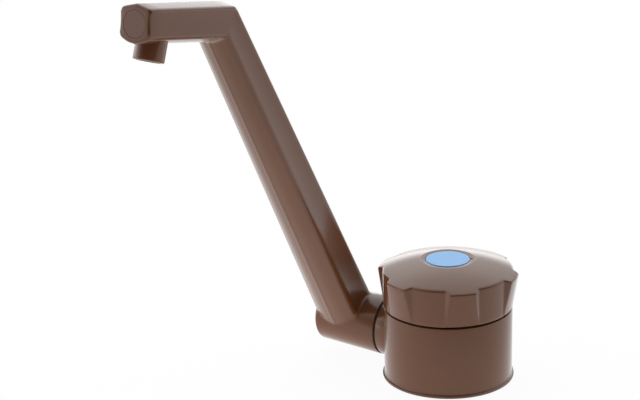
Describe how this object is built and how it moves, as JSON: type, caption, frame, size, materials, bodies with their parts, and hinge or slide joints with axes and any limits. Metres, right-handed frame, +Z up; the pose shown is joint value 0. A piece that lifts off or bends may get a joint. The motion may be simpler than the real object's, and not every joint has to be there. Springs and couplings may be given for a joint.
{
  "type": "water tap",
  "caption": "Worktop cold-water tap with a lobed turn knob over a round base, a pump switch under the knob and a hollow folding spout on a side swivel.",
  "frame": {"origin": "centre of the base on the worktop plane, where the foot gasket rests", "axes": "+Z up along the knob's axis, -Y to the front where the spout points, spout swivel toward -X"},
  "size_m": [0.0913, 0.165, 0.2425],
  "materials": {
    "shell": "satin moulded plastic, warm brown",
    "blue": "satin plastic, light blue",
    "rubber": "black",
    "steel": "stainless",
    "brass": "turned",
    "acetal": "natural white",
    "black": "moulded",
    "red": "moulded"
  },
  "bodies": {
    "base": {"housing": "shell", "foot_gasket": "rubber", "mounting_shank": "shell", "base_screws": "steel", "clamp_washer": "steel", "back_nut": "shell", "shank_grommet": "rubber", "hose_tail": "brass", "tail_seal": "rubber", "valve_body": "brass", "bonnet": "brass", "bonnet_seal": "rubber", "switch_case": "black", "switch_terminals": "steel", "switch_screws": "steel", "swivel_journal": "brass", "journal_seal": "rubber", "swivel_o_rings": "rubber", "swivel_ring": "rubber", "retaining_washer": "steel", "retaining_screw": "steel"},
    "knob": {"knob": "shell", "knob_screw": "steel", "knob_cap": "blue", "switch_cam": "acetal", "spindle": "brass", "spindle_o_rings": "rubber"},
    "plunger": {"valve_plunger": "brass", "valve_washer": "rubber", "washer_screw": "brass"},
    "lever": {"switch_lever": "steel"},
    "button": {"switch_button": "red"},
    "spout": {"spout": "shell", "swivel_cap": "shell", "end_plug": "shell", "outlet_nozzle": "shell", "nozzle_seal": "rubber", "flow_straightener": "acetal"}
  },
  "joints": [
    {"name": "knob_turn", "type": "hinge", "parent": "base", "child": "knob", "pos_m": [0, 0, 0.04], "axis": [0, 0, 1], "range_deg": [0, 180]},
    {"name": "valve_lift", "type": "slide", "parent": "base", "child": "plunger", "axis": [0, 0, 1], "range_m": [0, 0.003]},
    {"name": "lever_tilt", "type": "hinge", "parent": "base", "child": "lever", "pos_m": [0.0127, 0.0056, 0.0308], "axis": [0, 0, 1], "range_deg": [0, 6]},
    {"name": "button_press", "type": "slide", "parent": "base", "child": "button", "axis": [1, 0, 0], "range_m": [0, 0.000436]},
    {"name": "spout_fold", "type": "hinge", "parent": "base", "child": "spout", "pos_m": [-0.05, 0, 0.016], "axis": [1, 0, 0], "range_deg": [-120, 50]}
  ],
  "couplings": [
    {"joint": "valve_lift", "follows": "knob_turn", "m_per_rad": 0.0009549},
    {"joint": "lever_tilt", "follows": "knob_turn", "ratio": 0.033333},
    {"joint": "button_press", "follows": "knob_turn", "m_per_rad": 0.0001385}
  ]
}
